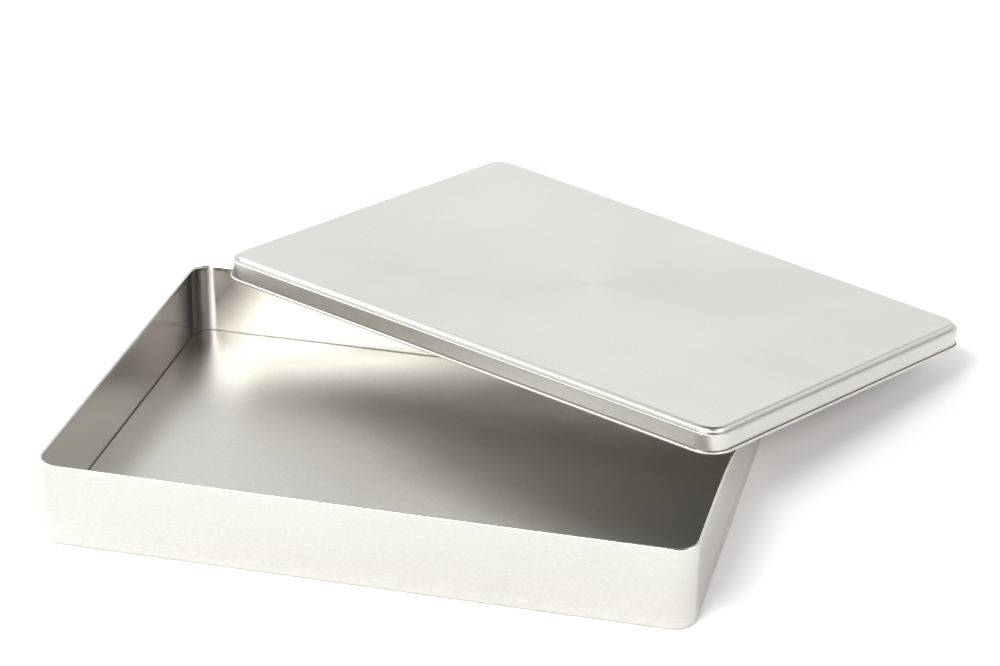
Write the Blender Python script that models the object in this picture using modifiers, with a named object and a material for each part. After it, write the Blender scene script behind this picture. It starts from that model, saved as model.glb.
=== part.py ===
"""Rectangular slip-lid tin: an empty tray of thin tinplate, with its lid leaning across one corner.

Units are metres and +Z is up. The origin is on the table, under the middle of the whole group.
"""
import math

import bmesh
import bpy
from mathutils import Euler, Vector

# Sheet and tray
SHEET = 0.0003
TRAY_LENGTH = 0.300
TRAY_WIDTH = 0.218
TRAY_HEIGHT = 0.0405
TRAY_CORNER = 0.0105
FLOOR_HEIGHT = 0.0040
FOOT_WIDTH = 0.0013
FOLD_CHAMFER = 0.0002

# Hem rolled outwards round the top of the tray
HEM_WIDTH = 0.0013
HEM_HEIGHT = 0.0017
HEM_PROUD = 0.0004
HEM_NECK = 0.0009

# Spring of the thin walls at the rim
LONG_WALL_BOW = 0.0003
SIDE_SPREAD = 0.0015
SIDE_SPREAD_AT = 0.010
SIDE_SPREAD_REACH = 0.030
WALL_BAND = 0.004

# Lid: raised panel, stepped shoulder, skirt, and a curl rolled outwards along the edge
LID_LENGTH = 0.3025
LID_WIDTH = 0.2205
LID_CORNER = 0.01175
SKIRT_HEIGHT = 0.0091
EDGE_ROUND = 0.00063
LEDGE_INSET = 0.0019
PANEL_ROUND = 0.00215
CURL_RADIUS = 0.00075
LID_TWIST = -0.1365

# How the lid lies: its middle measured from the middle of the tray's foot, and its lean
LID_CENTRE = Vector((0.0533, 0.1315, 0.04105))
LID_LEAN = Euler((math.radians(-5.725), math.radians(0.47), math.radians(-25.08)))

# Facets
CORNER_STEPS = 6
ROUND_STEPS = 3
TRAY_CELLS = (6, 4)
LID_CELLS = (8, 6)

TINPLATE = (0.72, 0.72, 0.70, 1.0)
TINPLATE_ROUGHNESS = 0.32


def clear_scene():
    """Remove whatever the scene holds."""
    for item in list(bpy.data.objects):
        bpy.data.objects.remove(item, do_unlink=True)


def outline(length, width, corner, offset):
    """Points round a rounded rectangle that is grown outwards by an offset."""
    radius = corner + offset
    middle_x = length / 2 - corner
    middle_y = width / 2 - corner
    points = []
    for quarter, (side_x, side_y) in enumerate(((1, 1), (-1, 1), (-1, -1), (1, -1))):
        for step in range(CORNER_STEPS + 1):
            angle = math.pi / 2 * (quarter + step / CORNER_STEPS)
            points.append((side_x * middle_x + radius * math.cos(angle),
                           side_y * middle_y + radius * math.sin(angle)))
    return points


def arc(centre, radius, start, end, steps):
    """Points of a round stretch of a section, from one angle to another in degrees."""
    points = []
    for step in range(steps + 1):
        angle = math.radians(start + (end - start) * step / steps)
        points.append((centre[0] + radius * math.cos(angle), centre[1] + radius * math.sin(angle)))
    return points


def tray_section():
    """Middle of the tray's sheet, as (offset from the wall's outer face, height)."""
    half = SHEET / 2
    floor = FLOOR_HEIGHT - half
    inner_leg = half - FOOT_WIDTH
    chamfer = FOLD_CHAMFER
    hem_radius = (HEM_WIDTH - SHEET) / 2
    hem_middle = HEM_PROUD - HEM_WIDTH / 2
    hem_centre = TRAY_HEIGHT - half - hem_radius
    hem_end = TRAY_HEIGHT - HEM_HEIGHT
    return [
        (inner_leg - chamfer, floor),
        (inner_leg, floor - chamfer),
        (inner_leg, half + chamfer),
        (inner_leg + chamfer, half),
        (-half - chamfer, half),
        (-half, half + chamfer),
        (-half, hem_end - HEM_NECK),
        *arc((hem_middle, hem_centre), hem_radius, 180, 0, 2 * ROUND_STEPS),
        (hem_middle + hem_radius, hem_end),
    ]


def lid_section():
    """Middle of the lid's sheet, as (offset from the skirt's outer face, height over its top)."""
    half = SHEET / 2
    panel_round = PANEL_ROUND - half
    edge_round = EDGE_ROUND - half
    curl_round = CURL_RADIUS - half
    panel_edge = LEDGE_INSET + PANEL_ROUND
    curl_centre = (curl_round - half, CURL_RADIUS - SKIRT_HEIGHT)
    return [
        *arc((-panel_edge, EDGE_ROUND), panel_round, 90, 0, ROUND_STEPS),
        (panel_round - panel_edge, edge_round),
        *arc((-EDGE_ROUND, 0), edge_round, 90, 0, ROUND_STEPS),
        *arc(curl_centre, curl_round, 180, 450, 2 * ROUND_STEPS),
    ]


def drawn_sheet(name, length, width, corner, section, cells):
    """Draw a rounded panel of sheet through a section, by extruding its edge step by step."""
    shell = bmesh.new()
    place = shell.verts.layers.int.new("place")
    offset, height = section[0]
    for index, (x, y) in enumerate(outline(length, width, corner, offset)):
        shell.verts.new((x, y, height))[place] = index
    panel = shell.faces.new(shell.verts[:])
    edges = panel.edges[:]
    for offset, height in section[1:]:
        ring = outline(length, width, corner, offset)
        drawn = bmesh.ops.extrude_edge_only(shell, edges=edges)["geom"]
        corners = [item for item in drawn if isinstance(item, bmesh.types.BMVert)]
        for vertex in corners:
            x, y = ring[vertex[place]]
            vertex.co = (x, y, height)
        new = set(corners)
        edges = [item for item in drawn if isinstance(item, bmesh.types.BMEdge)
                 and item.verts[0] in new and item.verts[1] in new]
    divide(shell, length, cells[0], Vector((1, 0, 0)))
    divide(shell, width, cells[1], Vector((0, 1, 0)))
    bmesh.ops.recalc_face_normals(shell, faces=shell.faces[:])
    return finish_sheet(name, shell)


def divide(shell, extent, cells, direction):
    """Cut a shell across one direction into even cells, so that it can bend."""
    for cut in range(1, cells):
        at = direction * extent * (cut / cells - 0.5)
        geometry = shell.verts[:] + shell.edges[:] + shell.faces[:]
        bmesh.ops.bisect_plane(shell, geom=geometry, plane_co=at, plane_no=direction)


def finish_sheet(name, shell):
    """Make an object of the open shell and give it the thickness of the sheet."""
    mesh = bpy.data.meshes.new(name)
    shell.to_mesh(mesh)
    shell.free()
    part = bpy.data.objects.new(name, mesh)
    solidify = part.modifiers.new("sheet", "SOLIDIFY")
    solidify.thickness = SHEET
    solidify.offset = 0.0
    solidify.use_even_offset = True
    return part


def spring_walls(part):
    """Bow the long walls out a little at the rim, and spread the side wall under the lid."""
    for vertex in part.data.vertices:
        x, y, z = vertex.co
        rise = (z / TRAY_HEIGHT) ** 2
        if abs(y) > TRAY_WIDTH / 2 - WALL_BAND:
            bow = LONG_WALL_BOW * (1 - (2 * x / TRAY_LENGTH) ** 2)
            vertex.co.y += math.copysign(bow * rise, y)
        if x > TRAY_LENGTH / 2 - WALL_BAND:
            away = (y - SIDE_SPREAD_AT) / SIDE_SPREAD_REACH
            vertex.co.x += SIDE_SPREAD * math.exp(-away ** 2) * rise


def twist(part):
    """Wind the lid slightly, so that two opposite corners stand higher than the other two."""
    for vertex in part.data.vertices:
        vertex.co.z += LID_TWIST * vertex.co.x * vertex.co.y


def dress(part):
    """Give a part its own satin tinplate and smooth its round edges."""
    material = bpy.data.materials.new(part.name + "_tinplate")
    material.use_nodes = True
    shader = material.node_tree.nodes["Principled BSDF"]
    shader.inputs["Base Color"].default_value = TINPLATE
    shader.inputs["Metallic"].default_value = 1.0
    shader.inputs["Roughness"].default_value = TINPLATE_ROUGHNESS
    part.data.materials.append(material)
    part.data.shade_smooth()
    part.data.set_sharp_from_angle(angle=math.radians(35))


def stand_on_origin(root, parts):
    """Move the group so that the origin is under the middle of its box, on the table."""
    bpy.context.view_layer.update()
    depsgraph = bpy.context.evaluated_depsgraph_get()
    points = []
    for part in parts:
        shape = part.evaluated_get(depsgraph)
        points += [shape.matrix_world @ vertex.co for vertex in shape.data.vertices]
    low = Vector(min(point[axis] for point in points) for axis in range(3))
    high = Vector(max(point[axis] for point in points) for axis in range(3))
    root.location = (-(low.x + high.x) / 2, -(low.y + high.y) / 2, -low.z)


def build():
    """Make the tray and the lid, and stand them on the origin."""
    clear_scene()
    tin = bpy.data.collections.new("rectangular_tin_box")
    bpy.context.scene.collection.children.link(tin)
    root = bpy.data.objects.new("tin_root", None)
    tin.objects.link(root)

    tray = drawn_sheet("tray", TRAY_LENGTH, TRAY_WIDTH, TRAY_CORNER, tray_section(), TRAY_CELLS)
    spring_walls(tray)
    lid = drawn_sheet("lid", LID_LENGTH, LID_WIDTH, LID_CORNER, lid_section(), LID_CELLS)
    twist(lid)
    lid.location = LID_CENTRE
    lid.rotation_euler = LID_LEAN
    for part in (tray, lid):
        dress(part)
        tin.objects.link(part)
        part.parent = root
    stand_on_origin(root, (tray, lid))


build()
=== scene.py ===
"""Looks of an empty rectangular slip-lid tin: a shallow satin tinplate tray and its leaning lid.

Everything is in metres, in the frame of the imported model: +Z is up and the table is at zero.
Both pieces are one sheet each, drawn through a section that runs round a rounded rectangle.
"""
import logging
import math
from dataclasses import dataclass, field
from enum import Enum

import bmesh
import bpy
import numpy as np
from mathutils import Euler, Matrix, Vector


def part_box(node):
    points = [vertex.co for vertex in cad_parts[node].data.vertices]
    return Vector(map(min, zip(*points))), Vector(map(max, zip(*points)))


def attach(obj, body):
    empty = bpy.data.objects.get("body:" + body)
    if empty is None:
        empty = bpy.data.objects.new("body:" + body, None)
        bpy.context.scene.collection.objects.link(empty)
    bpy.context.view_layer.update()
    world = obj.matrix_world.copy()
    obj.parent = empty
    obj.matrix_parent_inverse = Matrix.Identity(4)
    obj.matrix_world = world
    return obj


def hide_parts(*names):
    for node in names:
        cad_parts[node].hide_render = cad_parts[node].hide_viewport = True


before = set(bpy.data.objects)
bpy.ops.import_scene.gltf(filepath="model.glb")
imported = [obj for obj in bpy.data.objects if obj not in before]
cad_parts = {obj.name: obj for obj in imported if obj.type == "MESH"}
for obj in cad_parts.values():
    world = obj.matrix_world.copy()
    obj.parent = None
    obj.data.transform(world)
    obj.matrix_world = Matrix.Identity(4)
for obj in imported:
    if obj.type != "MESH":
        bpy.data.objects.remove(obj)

log = logging.getLogger("tin")
SHEET = 0.0003
BARE_TIN = (0.582, 0.563, 0.523)
# Darker tin for the lid's shoulder, ledge and edge: painted shade that dims their reflections.
PAINTED_SHADE_TIN = (0.520, 0.503, 0.467)
COOL_WHITE = (0.935, 0.985, 0.995)
WARM_WHITE = (1.0, 0.955, 0.97)
FAINT_ROSE = (1.0, 0.94, 0.98)


class Face(Enum):
    """Side of a thin sheet."""

    INNER = 1.0
    OUTER = -1.0


@dataclass(frozen=True)
class TinplateFinish:
    """Satin tinplate: rolled metal with a fine stipple and a faint drift in its shine.

    Where the mask is set, it passes to the worked colour and roughness: tool polish on the tray's
    walls, and painted shade on the lid's rounds.
    """

    name: str
    slot: str
    colour: tuple[float, float, float]
    worked_and_shade_colour: tuple[float, float, float]
    roughness: float
    worked_roughness: float
    grain_size: float
    grain_depth: float
    speckle: float
    drift: float
    rolled_along: float
    anisotropy: float

    def material(self, group: bpy.types.NodeTree) -> bpy.types.Material:
        """Make the material of this finish.

        Args:
            group: the shared node group that varies colour and roughness and makes the normal.

        Returns:
            The material, with the group's outputs on its own Principled shader.
        """
        made = bpy.data.materials.new(self.name)
        made.use_nodes = True
        tree = made.node_tree
        shader = tree.nodes["Principled BSDF"]
        shader.inputs["Metallic"].default_value = 1.0
        shader.inputs["Anisotropic"].default_value = self.anisotropy
        place = tree.nodes.new("ShaderNodeTexCoord")
        turn = tree.nodes.new("ShaderNodeMapping")
        turn.inputs["Rotation"].default_value = (0.0, 0.0, -math.radians(self.rolled_along))
        rolled = tree.nodes.new("ShaderNodeGroup")
        rolled.node_tree = group
        # The mask sets the worked colour and roughness; on the lid that colour is painted shade on the
        # rounds.
        worked_and_shade = tree.nodes.new("ShaderNodeAttribute")
        worked_and_shade.attribute_name = "worked_and_shade"
        tone = tree.nodes.new("ShaderNodeMix")
        tone.data_type = "RGBA"
        tone.inputs["A"].default_value = (*self.colour, 1.0)
        tone.inputs["B"].default_value = (*self.worked_and_shade_colour, 1.0)
        drawn = tree.nodes.new("ShaderNodeMapRange")
        drawn.inputs["To Min"].default_value = self.roughness
        drawn.inputs["To Max"].default_value = self.worked_roughness
        rolled.inputs["Grain size"].default_value = self.grain_size
        rolled.inputs["Grain depth"].default_value = self.grain_depth
        rolled.inputs["Speckle"].default_value = self.speckle
        rolled.inputs["Drift"].default_value = self.drift
        tree.links.new(place.outputs["Object"], turn.inputs["Vector"])
        tree.links.new(turn.outputs["Vector"], rolled.inputs["Place"])
        tree.links.new(worked_and_shade.outputs["Fac"], tone.inputs["Factor"])
        tree.links.new(tone.outputs["Result"], rolled.inputs["Colour"])
        tree.links.new(worked_and_shade.outputs["Fac"], drawn.inputs["Value"])
        tree.links.new(drawn.outputs["Result"], rolled.inputs["Roughness"])
        tree.links.new(rolled.outputs["Colour"], shader.inputs["Base Color"])
        tree.links.new(rolled.outputs["Roughness"], shader.inputs["Roughness"])
        tree.links.new(rolled.outputs["Normal"], shader.inputs["Normal"])
        return made


@dataclass
class RolledTinplate:
    """Node group of rolled tinplate, shared by the tray and the lid."""

    rolling_stretch: float = 3.5
    drift_size: float = 0.055
    streak_size: float = 0.0016
    streak_stretch: float = 40.0
    stipple_range: tuple[float, float] = (0.34, 0.66)
    broad_range: tuple[float, float] = (0.30, 0.70)
    stipple_share: float = 0.45
    streak_share: float = 0.35
    shade_share: float = -0.5

    def group(self) -> bpy.types.NodeTree:
        """Build the node group.

        Returns:
            The node tree, with the inputs Place, Colour, Roughness, Grain size, Grain depth,
            Speckle and Drift, and the outputs Colour, Roughness and Normal.
        """
        tree = bpy.data.node_groups.new("rolled_tinplate", "ShaderNodeTree")
        for name, kind in (("Place", "Vector"), ("Colour", "Color"), ("Roughness", "Float"),
                           ("Grain size", "Float"), ("Grain depth", "Float"),
                           ("Speckle", "Float"), ("Drift", "Float")):
            tree.interface.new_socket(name, in_out="INPUT", socket_type="NodeSocket" + kind)
        for name, kind in (("Colour", "Color"), ("Roughness", "Float"), ("Normal", "Vector")):
            tree.interface.new_socket(name, in_out="OUTPUT", socket_type="NodeSocket" + kind)
        given = tree.nodes.new("NodeGroupInput")
        result = tree.nodes.new("NodeGroupOutput")
        link = tree.links.new

        per_metre = self.value(tree, "DIVIDE", 1.0, given.outputs["Grain size"])
        rolled = self.stretched(tree, given.outputs["Place"], self.rolling_stretch)
        stipple = self.noise(tree, rolled, 1.0, 3.0)
        link(per_metre, stipple.inputs["Scale"])
        streaked = self.stretched(tree, given.outputs["Place"], self.streak_stretch)
        streaks = self.noise(tree, streaked, 1.0 / self.streak_size, 2.0)
        drift = self.noise(tree, given.outputs["Place"], 1.0 / self.drift_size, 2.0)

        fine = self.both_ways(tree, stipple.outputs["Fac"], self.stipple_range)
        broad = self.both_ways(tree, drift.outputs["Fac"], self.broad_range)
        along = self.both_ways(tree, streaks.outputs["Fac"], self.broad_range)
        mixed = self.value(tree, "MULTIPLY_ADD", fine, self.stipple_share, broad)
        mixed = self.value(tree, "MULTIPLY_ADD", along, self.streak_share, mixed)
        change = self.value(tree, "MULTIPLY", mixed, given.outputs["Drift"])
        rough = self.value(tree, "MULTIPLY_ADD", change, given.outputs["Roughness"],
                           given.outputs["Roughness"])
        link(rough, result.inputs["Roughness"])

        shade = self.value(tree, "MULTIPLY_ADD", change, self.shade_share, 1.0)
        shade = self.value(tree, "MULTIPLY_ADD", fine, given.outputs["Speckle"], shade)
        tint = tree.nodes.new("ShaderNodeVectorMath")
        tint.operation = "SCALE"
        link(given.outputs["Colour"], tint.inputs[0])
        link(shade, tint.inputs["Scale"])
        link(tint.outputs["Vector"], result.inputs["Colour"])

        bump = tree.nodes.new("ShaderNodeBump")
        bump.inputs["Strength"].default_value = 1.0
        link(given.outputs["Grain depth"], bump.inputs["Distance"])
        link(stipple.outputs["Fac"], bump.inputs["Height"])
        link(bump.outputs["Normal"], result.inputs["Normal"])
        return tree

    @staticmethod
    def value(tree: bpy.types.NodeTree, operation: str, *terms: object) -> bpy.types.NodeSocket:
        """Add a Math node.

        Args:
            tree: where the node goes.
            operation: the Math node's operation.
            terms: numbers or sockets for its inputs, in order.

        Returns:
            The node's output.
        """
        node = tree.nodes.new("ShaderNodeMath")
        node.operation = operation
        for socket, term in zip(node.inputs, terms):
            if isinstance(term, bpy.types.NodeSocket):
                tree.links.new(term, socket)
            else:
                socket.default_value = term
        return node.outputs["Value"]

    @staticmethod
    def stretched(tree: bpy.types.NodeTree, place: bpy.types.NodeSocket,
                  times: float) -> bpy.types.NodeSocket:
        """Draw a pattern out along the rolling direction.

        Args:
            tree: where the node goes.
            place: the place that the pattern reads.
            times: how many times longer than wide the pattern becomes.

        Returns:
            The new place.
        """
        node = tree.nodes.new("ShaderNodeVectorMath")
        node.operation = "MULTIPLY"
        node.inputs[1].default_value = (1.0 / times, 1.0, 1.0)
        tree.links.new(place, node.inputs[0])
        return node.outputs["Vector"]

    @staticmethod
    def noise(tree: bpy.types.NodeTree, place: bpy.types.NodeSocket, scale: float,
              detail: float) -> bpy.types.Node:
        """Add a noise texture.

        Args:
            tree: where the node goes.
            place: the place that it reads.
            scale: cells per metre.
            detail: how many finer layers it has.

        Returns:
            The noise node.
        """
        node = tree.nodes.new("ShaderNodeTexNoise")
        node.inputs["Scale"].default_value = scale
        node.inputs["Detail"].default_value = detail
        tree.links.new(place, node.inputs["Vector"])
        return node

    @staticmethod
    def both_ways(tree: bpy.types.NodeTree, value: bpy.types.NodeSocket,
                  limits: tuple[float, float]) -> bpy.types.NodeSocket:
        """Map a pattern's usual range to a swing from -1 to 1.

        Args:
            tree: where the node goes.
            value: the pattern's value.
            limits: start and end of its usual range.

        Returns:
            The swing.
        """
        node = tree.nodes.new("ShaderNodeMapRange")
        node.inputs["From Min"].default_value, node.inputs["From Max"].default_value = limits
        node.inputs["To Min"].default_value = -1.0
        tree.links.new(value, node.inputs["Value"])
        return node.outputs["Result"]


@dataclass
class DrawnSheet:
    """A rounded rectangular panel of sheet with a rim drawn from one section.

    A row of the section is (share, offset, height): share is 1 on the panel's middle line and 0
    at its edge, offset is how far outside the nominal outline, and height is above the base.
    """

    name: str
    node: str
    length: float
    width: float
    corner: float
    sheet: float
    finish: TinplateFinish
    corner_steps: int = 20
    long_steps: int = 30
    short_steps: int = 22
    round_steps: int = 12
    panel_steps: int = 14
    panel_crowding: float = 1.5
    panel_last_share: float = 0.004
    merge_distance: float = 2e-6
    sharp_from: float = 50.0

    def section(self) -> np.ndarray:
        """Middle of the sheet, from the panel's middle line to the free edge."""
        raise NotImplementedError

    def worked_and_shade(self, skin: np.ndarray) -> np.ndarray:
        """How strongly each row takes the worked colour and roughness, from 0 to 1: tool polish on the
        tray, painted shade on the lid's rounds.
        """
        raise NotImplementedError

    def bend(self, points: np.ndarray) -> np.ndarray:
        """Bend the drawn shape and put it where the part holds it."""
        raise NotImplementedError

    @staticmethod
    def arc(centre: tuple[float, float], radius: float, start: float, end: float,
            steps: int) -> np.ndarray:
        """Round stretch of a section: centre plus radius times cosine and sine of the angle.

        Args:
            centre: its offset and height.
            radius: radius of the middle of the sheet.
            start: first angle in degrees.
            end: last angle in degrees.
            steps: how many steps it takes.

        Returns:
            Rows of share, offset and height.
        """
        angle = np.radians(np.linspace(start, end, steps + 1))
        return np.column_stack((np.zeros_like(angle), centre[0] + radius * np.cos(angle),
                                centre[1] + radius * np.sin(angle)))

    @staticmethod
    def straight(start: tuple[float, float], end: tuple[float, float], steps: int,
                 hold: float = 0.0) -> np.ndarray:
        """Straight stretch of a section, without its two ends.

        Args:
            start: offset and height it starts from.
            end: offset and height it ends at.
            steps: how many even steps it takes.
            hold: distance from each end of an extra point, which keeps the face flat there.

        Returns:
            Rows of share, offset and height.
        """
        share = np.linspace(0.0, 1.0, steps + 1)[1:-1]
        if hold:
            near = hold / math.dist(start, end)
            share = np.concatenate(([near], share, [1.0 - near]))
        line = np.outer(1.0 - share, start) + np.outer(share, end)
        return np.column_stack((np.zeros_like(share), line))

    def panel(self, offset: float, height: float) -> np.ndarray:
        """Flat stretch from the middle line out to the edge; the steps crowd towards the edge.

        Args:
            offset: offset of the panel's edge.
            height: height of the middle of its sheet.

        Returns:
            Rows of share, offset and height.
        """
        share = np.linspace(1.0, 0.0, self.panel_steps + 1) ** self.panel_crowding
        share = np.concatenate((share[:-1], [share[-2] / 4, self.panel_last_share]))
        return np.column_stack((share, np.full_like(share, offset), np.full_like(share, height)))

    def face(self, section: np.ndarray, side: Face) -> np.ndarray:
        """One face of the sheet: the middle moved by half the thickness along its mitred normal.

        Args:
            section: the middle of the sheet.
            side: which face.

        Returns:
            Rows of share, offset and height.
        """
        reach = self.width / 2
        flat = np.column_stack((section[:, 1] - section[:, 0] * reach, section[:, 2]))
        run = np.diff(flat, axis=0)
        run /= np.linalg.norm(run, axis=1)[:, None]
        before = np.vstack((run[:1], run))
        after = np.vstack((run, run[-1:]))
        normal = np.column_stack((-(before + after)[:, 1], (before + after)[:, 0]))
        normal /= np.linalg.norm(normal, axis=1)[:, None]
        lean = np.sqrt((1.0 + np.sum(before * after, axis=1)) / 2)
        moved = section.copy()
        moved[:, 1:] += normal * (side.value * self.sheet / 2 / lean)[:, None]
        return moved

    def path(self) -> tuple[np.ndarray, np.ndarray]:
        """Rounded rectangle that the section follows.

        Returns:
            The corner centres spread along the sides, and the outward direction at each point:
            a point of the outline is centre plus direction times (corner radius plus offset).
        """
        middle = np.array((self.length / 2 - self.corner, self.width / 2 - self.corner))
        signs = np.array(((1, 1), (-1, 1), (-1, -1), (1, -1)), float)
        centres, angles = [], []
        for quarter in range(4):
            here = signs[quarter] * middle
            there = signs[(quarter + 1) % 4] * middle
            turn = np.linspace(0.0, 90.0, self.corner_steps + 1) + 90.0 * quarter
            steps = self.long_steps if quarter % 2 == 0 else self.short_steps
            share = np.linspace(0.0, 1.0, steps + 1)[1:-1, None]
            centres += [np.repeat(here[None], len(turn), axis=0), (1 - share) * here + share * there]
            angles += [turn, np.full(steps - 1, turn[-1])]
        angle = np.radians(np.concatenate(angles))
        return np.vstack(centres), np.column_stack((np.cos(angle), np.sin(angle)))

    def skin(self) -> np.ndarray:
        """Rows of both faces of the section, out along the inner face and back along the outer."""
        section = self.section()
        return np.vstack((self.face(section, Face.INNER), self.face(section, Face.OUTER)[::-1]))

    def surface(self, skin: np.ndarray) -> np.ndarray:
        """Sweep the skin round the path as one closed surface.

        At step u of the path and row v of the skin the point is the outline point, drawn towards
        the middle line by the row's share, at the row's height.

        Args:
            skin: rows of both faces.

        Returns:
            Points as (rows, steps, 3).
        """
        centre, outward = self.path()
        share, offset, height = (column[:, None] for column in skin.T)
        ring = centre[None] + outward[None] * (self.corner + offset)[:, :, None]
        half_line = (self.length - self.width) / 2
        middle_line = np.stack((np.clip(ring[:, :, 0], -half_line, half_line),
                                np.zeros_like(ring[:, :, 1])), axis=2)
        flat = ring + share[:, :, None] * (middle_line - ring)
        return np.dstack((flat, np.broadcast_to(height, flat.shape[:2])))

    def build(self, group: bpy.types.NodeTree) -> bpy.types.Object:
        """Make the finished piece in place of its node.

        Args:
            group: the shared tinplate node group.

        Returns:
            The piece, with its place in its mesh.
        """
        skin = self.skin()
        points = self.bend(self.surface(skin))
        rows, steps = points.shape[:2]
        row, step = np.meshgrid(np.arange(rows - 1), np.arange(steps), indexing="ij")
        after = (step + 1) % steps
        quads = np.stack((row * steps + step, row * steps + after,
                          (row + 1) * steps + after, (row + 1) * steps + step), axis=-1)
        mesh = bpy.data.meshes.new(self.name)
        mesh.from_pydata(points.reshape(-1, 3).tolist(), [], quads.reshape(-1, 4).tolist())
        # The mask carries tool polish on the tray and painted shade on the lid's rounds.
        worked_and_shade = mesh.attributes.new("worked_and_shade", "FLOAT", "POINT")
        worked_and_shade.data.foreach_set("value", np.repeat(self.worked_and_shade(skin), steps))
        self.close(mesh)
        mesh.shade_smooth()
        mesh.set_sharp_from_angle(angle=math.radians(self.sharp_from))
        mesh.materials.append(self.finish.material(group))
        piece = bpy.data.objects.new(self.name, mesh)
        bpy.context.scene.collection.objects.link(piece)
        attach(piece, "root")
        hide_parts(self.node)
        log.info("%s: %d faces", self.name, len(mesh.polygons))
        return piece

    def close(self, mesh: bpy.types.Mesh) -> None:
        """Merge the points that meet on the panel's middle line and turn the faces outwards."""
        shell = bmesh.new()
        shell.from_mesh(mesh)
        bmesh.ops.remove_doubles(shell, verts=shell.verts[:], dist=self.merge_distance)
        bmesh.ops.recalc_face_normals(shell, faces=shell.faces[:])
        shell.to_mesh(mesh)
        shell.free()


@dataclass
class Tray(DrawnSheet):
    """Open tray: a raised floor, a folded foot, thin walls and a hem rolled outwards."""

    height: float = 0.0405
    floor_height: float = 0.0040
    groove: float = 0.00015
    foot_width: float = 0.0029
    foot_lift: float = 0.00045
    floor_round: float = 0.00060
    fold_round: float = 0.00035
    hem_width: float = 0.0013
    hem_height: float = 0.0017
    hem_proud: float = 0.0004
    hem_neck: float = 0.0009
    long_wall_bow: float = 0.0003
    side_spread: float = 0.0015
    side_spread_at: float = 0.010
    side_spread_reach: float = 0.030
    wall_band: float = 0.004
    worked_from: float = 0.0040
    worked_over: float = 0.0035
    wall_steps: int = 8
    middle: Vector = field(default_factory=Vector)

    def __post_init__(self) -> None:
        """Find the middle of the tray's foot from the node that the tray replaces."""
        low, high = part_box(self.node)
        self.middle = Vector((low.x + self.length / 2 + self.hem_proud, (low.y + high.y) / 2, low.z))

    def section(self) -> np.ndarray:
        """Floor, slanted leg, bottom that rises outwards, wall, neck and half round of the hem."""
        half = self.sheet / 2
        dip, fold = self.floor_round, self.fold_round
        floor = self.floor_height - half
        leg_top = -self.sheet - self.groove - half
        leg_foot = half - self.foot_width
        low_turn = (leg_foot + fold, half + fold)
        high_turn = (-half - fold, half + fold + self.foot_lift)
        slope = math.degrees(math.atan2(high_turn[1] - low_turn[1], high_turn[0] - low_turn[0]))
        hem_round = (self.hem_width - self.sheet) / 2
        hem_middle = self.hem_proud - self.hem_width / 2
        hem_centre = self.height - half - hem_round
        hem_end = self.height - self.hem_height
        neck = hem_end - self.hem_neck
        steps = self.round_steps // 2
        return np.vstack((
            self.panel(leg_top - dip, floor),
            self.arc((leg_top - dip, floor - dip), dip, 90, 0, self.round_steps),
            self.straight((leg_top, floor - dip), (leg_foot, low_turn[1]), 3, fold),
            self.arc(low_turn, fold, 180, 270 + slope, steps),
            self.arc(high_turn, fold, 270 + slope, 360, steps),
            self.straight((-half, high_turn[1]), (-half, neck), self.wall_steps, fold),
            [(0.0, -half, neck)],
            self.arc((hem_middle, hem_centre), hem_round, 180, 0, 2 * self.round_steps),
            [(0.0, hem_middle + hem_round, hem_end)],
        ))

    def worked_and_shade(self, skin: np.ndarray) -> np.ndarray:
        """Drawing polished the walls: none at the floor, rising evenly to all just above it."""
        return np.clip((skin[:, 2] - self.worked_from) / self.worked_over, 0.0, 1.0)

    def bend(self, points: np.ndarray) -> np.ndarray:
        """Spring the thin walls at the rim, then move the tray to its place.

        A long wall bows by bow times (1 minus (2x / length) squared), the wall under the lid by a
        bell curve along y, and both grow with the square of the height.

        Args:
            points: the drawn surface.

        Returns:
            The bent surface in the part's frame.
        """
        x, y, z = points[..., 0], points[..., 1], points[..., 2]
        rise = (z / self.height) ** 2
        long_wall = np.abs(y) > self.width / 2 - self.wall_band
        side_wall = x > self.length / 2 - self.wall_band
        bow = self.long_wall_bow * (1 - (2 * x / self.length) ** 2) * np.sign(y)
        spread = self.side_spread * np.exp(-((y - self.side_spread_at) / self.side_spread_reach) ** 2)
        bent = points.copy()
        bent[..., 1] += np.where(long_wall, bow * rise, 0.0)
        bent[..., 0] += np.where(side_wall, spread * rise, 0.0)
        return bent + np.array(self.middle)


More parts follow.
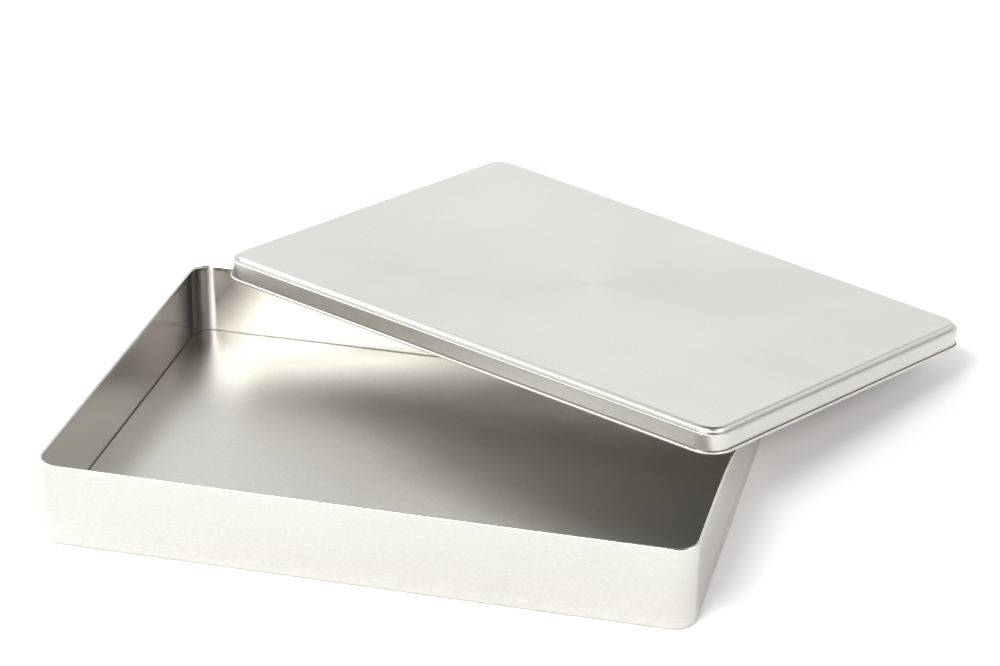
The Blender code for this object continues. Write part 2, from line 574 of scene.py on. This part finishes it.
@dataclass
class Lid(DrawnSheet):
    """Slip lid: a raised panel, a stepped shoulder, a skirt and a curl rolled outwards."""

    skirt_height: float = 0.0091
    edge_round: float = 0.00063
    ledge_inset: float = 0.0019
    panel_round: float = 0.00215
    curl_radius: float = 0.00075
    twist: float = -0.1365
    centre: Vector = field(default_factory=lambda: Vector((0.0533, 0.1315, 0.04105)))
    lean: tuple[float, float, float] = (-5.725, 0.47, -25.08)
    skirt_steps: int = 5

    def section(self) -> np.ndarray:
        """Panel, its round shoulder, the narrow ledge, the edge, the skirt and the curl."""
        half = self.sheet / 2
        shoulder = self.panel_round - half
        edge = self.edge_round - half
        curl = self.curl_radius - half
        panel_edge = -self.ledge_inset - self.panel_round
        curl_middle = (curl - half, self.curl_radius - self.skirt_height)
        ledge = ((panel_edge + shoulder, edge), (-self.edge_round, edge))
        return np.vstack((
            self.panel(panel_edge, self.edge_round + shoulder),
            self.arc((panel_edge, self.edge_round), shoulder, 90, 0, self.round_steps),
            [(0.0, *ledge[0])],
            self.straight(*ledge, 3),
            self.arc((-self.edge_round, 0.0), edge, 90, 0, self.round_steps),
            self.straight((-half, 0.0), (-half, curl_middle[1]), self.skirt_steps, edge),
            self.arc(curl_middle, curl, 180, 450, 3 * self.round_steps),
        ))

    def worked_and_shade(self, skin: np.ndarray) -> np.ndarray:
        """Painted shade on the rounds: all on the shoulder, ledge and edge, none elsewhere."""
        _, offset, height = skin.T
        return ((offset > -self.ledge_inset - self.panel_round) & (height > 0.0)).astype(float)

    def bend(self, points: np.ndarray) -> np.ndarray:
        """Wind the lid by twist times x times y, turn it to its lean and set it on the rim.

        Args:
            points: the drawn surface.

        Returns:
            The surface in the part's frame.
        """
        wound = points.copy()
        wound[..., 2] += self.twist * points[..., 0] * points[..., 1]
        turn = np.array(Euler([math.radians(angle) for angle in self.lean]).to_matrix())
        return wound @ turn.T + np.array(self.centre)


@dataclass(frozen=True)
class Softbox:
    """Soft rectangular studio light that faces the middle of the table under the part."""

    name: str
    stands: tuple[float, float, float]
    size: tuple[float, float]
    watts: float
    colour: tuple[float, float, float]

    def place(self) -> None:
        """Add the light to the scene."""
        light = bpy.data.lights.new(self.name, "AREA")
        light.shape = "RECTANGLE"
        light.size, light.size_y = self.size
        light.energy = self.watts
        light.color = self.colour
        holder = bpy.data.objects.new(self.name, light)
        stands = Vector(self.stands)
        holder.matrix_world = Matrix.LocRotScale(stands, stands.to_track_quat("Z", "Y"), None)
        bpy.context.scene.collection.objects.link(holder)


@dataclass(frozen=True)
class StudioCamera:
    """Camera at the photograph's viewing angle, placed from the middle of the tray's foot."""

    lens: float = 104.87
    sensor: float = 36.0
    clip_start: float = 0.05
    stands: tuple[float, float, float] = (0.3214, -1.16265, 0.67072)
    yaw: float = 13.751
    pitch: float = 26.374
    roll: float = 0.626

    def place(self, middle: Vector) -> None:
        """Add the camera and make it the scene's camera.

        Args:
            middle: the middle of the tray's foot.
        """
        yaw, pitch, roll = (math.radians(angle) for angle in (self.yaw, self.pitch, self.roll))
        back = Vector((math.sin(yaw) * math.cos(pitch), -math.cos(yaw) * math.cos(pitch),
                       math.sin(pitch)))
        level = Vector((0.0, 0.0, 1.0)).cross(back).normalized()
        up = back.cross(level)
        across = math.cos(roll) * level + math.sin(roll) * up
        above = math.cos(roll) * up - math.sin(roll) * level
        lens = bpy.data.cameras.new("studio_camera")
        lens.lens = self.lens
        lens.sensor_width = self.sensor
        lens.sensor_fit = "HORIZONTAL"
        lens.clip_start = self.clip_start
        camera = bpy.data.objects.new("studio_camera", lens)
        turn = Matrix((across, above, back)).transposed().to_4x4()
        camera.matrix_world = Matrix.Translation(middle + Vector(self.stands)) @ turn
        bpy.context.scene.collection.objects.link(camera)
        bpy.context.scene.camera = camera


@dataclass
class Studio:
    """Plain white table, air that is bright low down and dark overhead, and soft lights."""

    table_size: float = 7.0
    table_colour: tuple[float, float, float] = (0.92, 0.915, 0.91)
    table_roughness: float = 0.85
    table_shine: float = 0.1
    air_colour: tuple[float, float, float] = (0.972, 0.98, 1.0)
    far_levels: tuple[float, ...] = (0.0, 1.93, 0.97, 0.22, 0.0)
    near_levels: tuple[float, ...] = (6.3, 1.0, 0.0, 0.0, 0.0)
    near_side: float = -60.0
    near_edge: tuple[float, float] = (0.35, 0.85)
    softboxes: tuple[Softbox, ...] = (
        Softbox("front_light", (-0.503, -1.383, 1.635), (1.0, 0.6), 32.0, COOL_WHITE),
        Softbox("low_front_light", (-0.507, -1.893, 0.999), (0.8, 0.5), 8.0, COOL_WHITE),
        Softbox("low_right_light", (0.171, -1.953, 0.999), (0.8, 0.5), 4.4, FAINT_ROSE),
        Softbox("low_left_light", (-1.262, -1.503, 0.999), (0.9, 0.5), 6.5, COOL_WHITE),
        Softbox("left_light", (-1.859, -0.163, 1.166), (2.0, 1.4), 25.0, COOL_WHITE),
        Softbox("right_light", (1.775, -0.313, 1.262), (1.3, 0.9), 13.5, WARM_WHITE),
        Softbox("back_light", (-1.128, 0.946, 1.635), (1.2, 1.0), 9.0, COOL_WHITE),
    )

    def build(self) -> None:
        """Lay the table, light the air and place the lights."""
        bpy.context.scene.view_settings.view_transform = "Standard"
        self.table()
        self.air()
        for softbox in self.softboxes:
            softbox.place()
        log.info("studio: table and %d softboxes", len(self.softboxes))

    def table(self) -> None:
        """Lay the white table at height zero."""
        half = self.table_size / 2
        mesh = bpy.data.meshes.new("table")
        top = [(-half, -half, 0.0), (half, -half, 0.0), (half, half, 0.0), (-half, half, 0.0)]
        mesh.from_pydata(top, [], [(0, 1, 2, 3)])
        paint = bpy.data.materials.new("white_table")
        paint.use_nodes = True
        shader = paint.node_tree.nodes["Principled BSDF"]
        shader.inputs["Base Color"].default_value = (*self.table_colour, 1.0)
        shader.inputs["Roughness"].default_value = self.table_roughness
        shader.inputs["Specular IOR Level"].default_value = self.table_shine
        mesh.materials.append(paint)
        table = bpy.data.objects.new("table", mesh)
        bpy.context.scene.collection.objects.link(table)

    def air(self) -> None:
        """Light the surroundings by height, on the far side and on the near side.

        The levels stand at even steps of height up to straight above. Towards the near side the
        light passes smoothly from the far levels to the near ones.
        """
        world = bpy.data.worlds.new("studio_air")
        world.use_nodes = True
        tree = world.node_tree
        towards = tree.nodes.new("ShaderNodeTexCoord")
        height = tree.nodes.new("ShaderNodeSeparateXYZ")
        facing = tree.nodes.new("ShaderNodeVectorMath")
        facing.operation = "DOT_PRODUCT"
        side = math.radians(self.near_side)
        facing.inputs[1].default_value = (math.cos(side), math.sin(side), 0.0)
        share = tree.nodes.new("ShaderNodeMapRange")
        share.interpolation_type = "SMOOTHSTEP"
        share.inputs["From Min"].default_value, share.inputs["From Max"].default_value = self.near_edge
        both = tree.nodes.new("ShaderNodeMix")
        light = tree.nodes["Background"]
        light.inputs["Color"].default_value = (*self.air_colour, 1.0)
        tree.links.new(towards.outputs["Generated"], height.inputs["Vector"])
        tree.links.new(towards.outputs["Generated"], facing.inputs[0])
        tree.links.new(facing.outputs["Value"], share.inputs["Value"])
        tree.links.new(share.outputs["Result"], both.inputs["Factor"])
        for socket, levels in (("A", self.far_levels), ("B", self.near_levels)):
            curve = self.by_height(tree, levels)
            tree.links.new(height.outputs["Z"], curve.inputs["Value"])
            tree.links.new(curve.outputs["Value"], both.inputs[socket])
        tree.links.new(both.outputs["Result"], light.inputs["Strength"])
        bpy.context.scene.world = world

    @staticmethod
    def by_height(tree: bpy.types.NodeTree, levels: tuple[float, ...]) -> bpy.types.Node:
        """Add a curve that runs straight from level to level.

        Args:
            tree: where the node goes.
            levels: its values at even steps of height from zero to one.

        Returns:
            The curve's node.
        """
        node = tree.nodes.new("ShaderNodeFloatCurve")
        curve = node.mapping.curves[0]
        node.mapping.clip_max_y = max(levels)
        last = len(levels) - 1
        for step in range(1, last):
            curve.points.new(step / last, levels[step])
        for point, step in zip(curve.points, range(last + 1)):
            point.location = (step / last, levels[step])
            point.handle_type = "VECTOR"
        node.mapping.update()
        return node


def main() -> None:
    """Build the tin and its studio."""
    logging.basicConfig(level=logging.INFO, format="%(name)s %(message)s")
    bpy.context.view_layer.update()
    group = RolledTinplate().group()
    tray_finish = TinplateFinish(
        name="tray_tinplate_look", slot="tray_tinplate", colour=BARE_TIN, worked_and_shade_colour=BARE_TIN,
        roughness=0.34, worked_roughness=0.17, grain_size=0.00055, grain_depth=0.000020,
        speckle=0.05, drift=0.025, rolled_along=0.0, anisotropy=0.15)
    tray = Tray(name="tray_shell", node="tray", length=0.300, width=0.218, corner=0.0105,
                sheet=SHEET, finish=tray_finish)
    tray.build(group)
    # On the lid the worked colour is darker tin on the shoulder, ledge and edge: painted shade that
    # dims their reflections.
    lid_finish = TinplateFinish(
        name="lid_tinplate_look", slot="lid_tinplate", colour=BARE_TIN, worked_and_shade_colour=PAINTED_SHADE_TIN,
        roughness=0.34, worked_roughness=0.34, grain_size=0.00055, grain_depth=0.000020,
        speckle=0.03, drift=0.025, rolled_along=-25.08, anisotropy=0.15)
    lid = Lid(name="lid_shell", node="lid", length=0.3025, width=0.2205, corner=0.01175,
              sheet=SHEET, finish=lid_finish)
    lid.centre = tray.middle + lid.centre
    lid.build(group)
    StudioCamera().place(tray.middle)
    Studio().build()
    bpy.context.view_layer.update()


if __name__ == "__main__":
    main()
